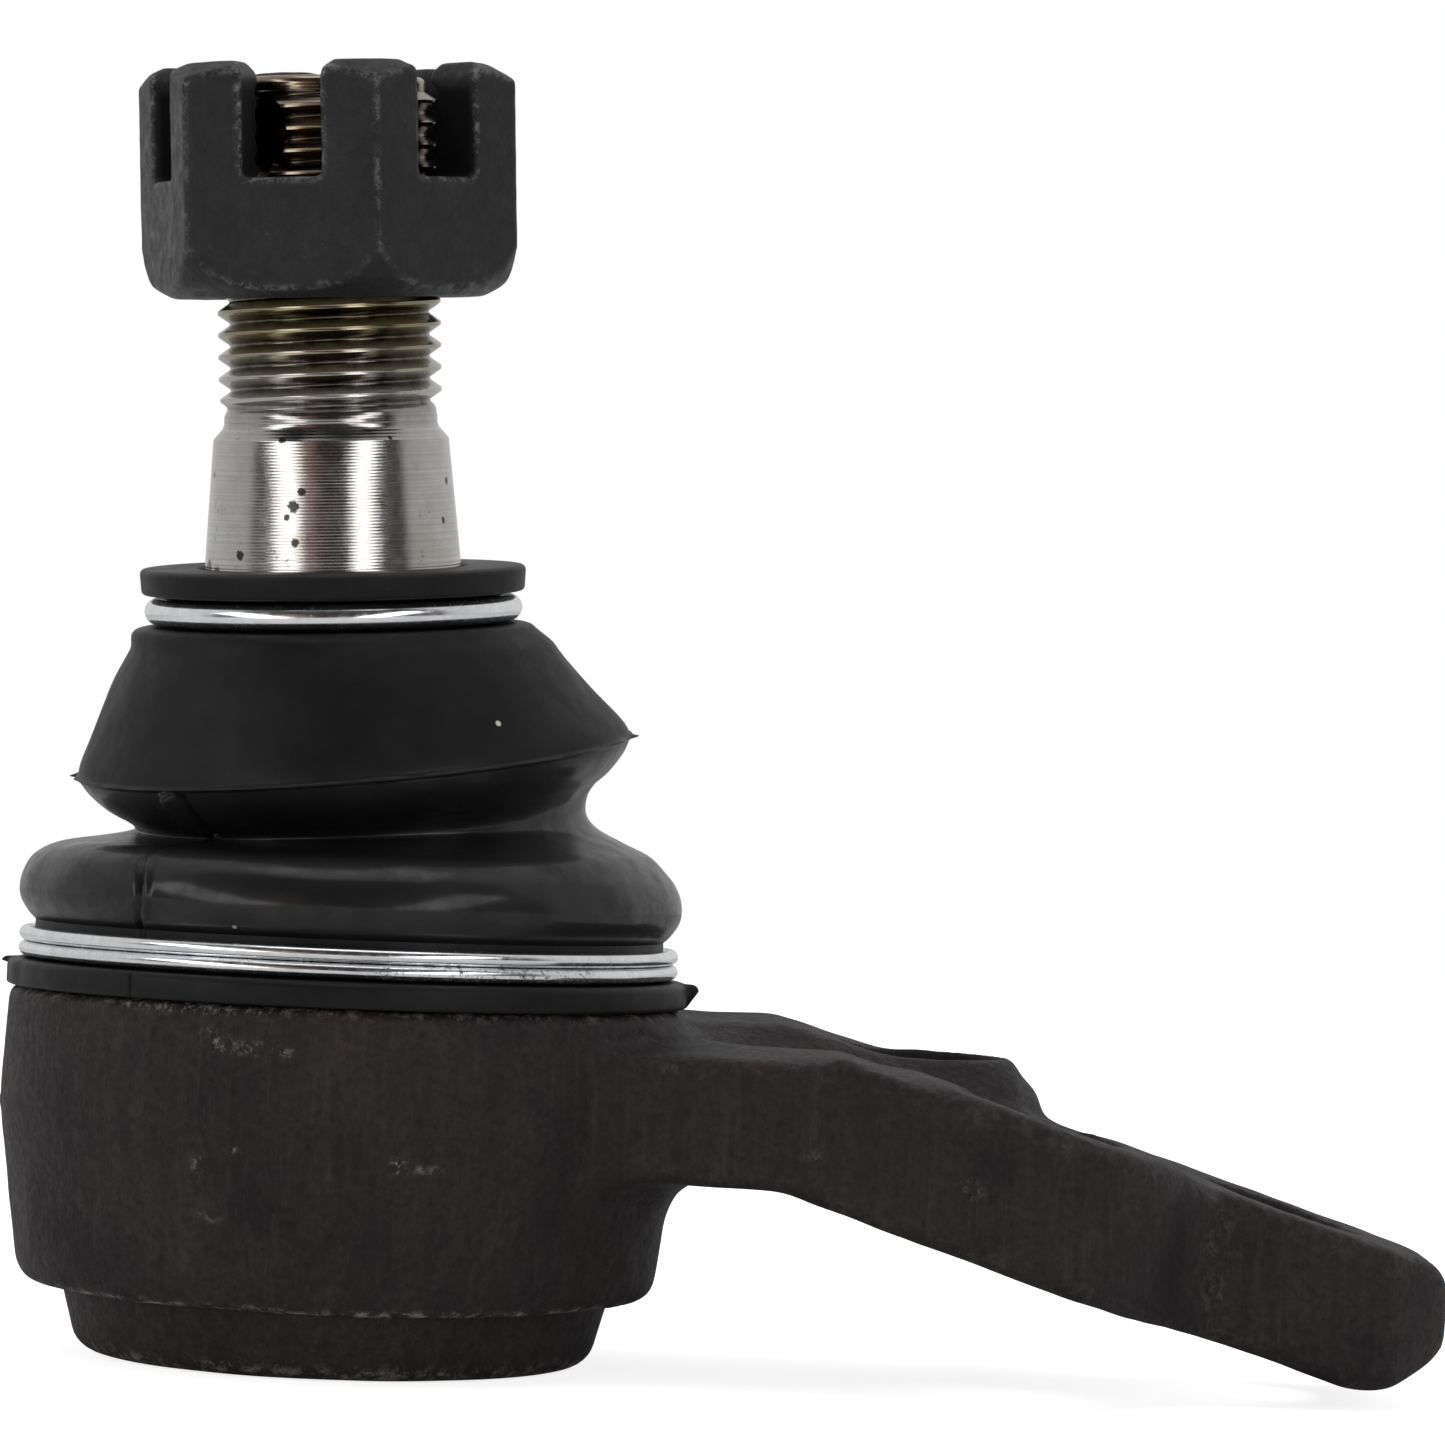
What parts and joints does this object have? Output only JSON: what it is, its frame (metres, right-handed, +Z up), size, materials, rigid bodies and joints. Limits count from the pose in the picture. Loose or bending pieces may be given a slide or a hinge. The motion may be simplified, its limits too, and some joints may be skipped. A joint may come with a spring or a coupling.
{
  "type": "tie rod end",
  "caption": "Ball-type tie rod end with a tapered threaded stud, slotted nut, rubber dust boot and a forged arm with bolt holes.",
  "frame": {"origin": "centre of the ball, on the axis of the socket", "axes": "+Z up the axis of the socket, towards the stud; +X towards the tip of the forged arm; the picture looks along +Y"},
  "size_m": [0.0936, 0.0446, 0.0838],
  "materials": {
    "forging": "satin black paint over a forged skin",
    "pressed_cover": "satin black paint over pressed steel",
    "bearing_plastic": "moulded bearing plastic",
    "plate_steel": "plain blanked steel",
    "spring_steel": "tempered spring steel",
    "liner_bronze": "thin bronze-backed liner",
    "stud_steel": "turned and rolled bare steel, lightly oiled",
    "nut_black": "black oxide with worn edges",
    "boot_rubber": "moulded black rubber, soft sheen",
    "zinc_wire": "bright zinc-plated wire",
    "collar_plastic": "moulded plastic"
  },
  "bodies": {
    "socket": {"housing": "forging", "end_cover": "pressed_cover", "upper_seat": "bearing_plastic", "lower_seat": "bearing_plastic", "spring_seat": "plate_steel", "disc_spring": "spring_steel", "dust_boot": "boot_rubber", "lower_boot_ring": "zinc_wire"},
    "liner": {"ball_liner": "liner_bronze"},
    "collar": {"boot_collar": "collar_plastic", "upper_boot_ring": "zinc_wire"},
    "stud": {"ball_stud": "stud_steel"},
    "nut": {"castle_nut": "nut_black"}
  },
  "joints": [
    {"name": "stud_tilt_x", "type": "hinge", "parent": "socket", "child": "liner", "pos_m": [0, 0, 0], "axis": [1, 0, 0], "range_deg": [-20.5, 11.5], "deforming": ["dust_boot"]},
    {"name": "stud_tilt_y", "type": "hinge", "parent": "liner", "child": "collar", "pos_m": [0, 0, 0], "axis": [0, 0.9969, 0.0785], "range_deg": [-13, 19], "deforming": ["dust_boot"]},
    {"name": "stud_spin", "type": "hinge", "parent": "collar", "child": "stud", "pos_m": [0, 0, 0], "axis": [-0.0523, -0.0784, 0.9956], "continuous": true},
    {"name": "nut_turn", "type": "hinge", "parent": "stud", "child": "nut", "pos_m": [0, 0, 0], "axis": [-0.0523, -0.0784, 0.9956], "range_deg": [-30, 30]}
  ]
}
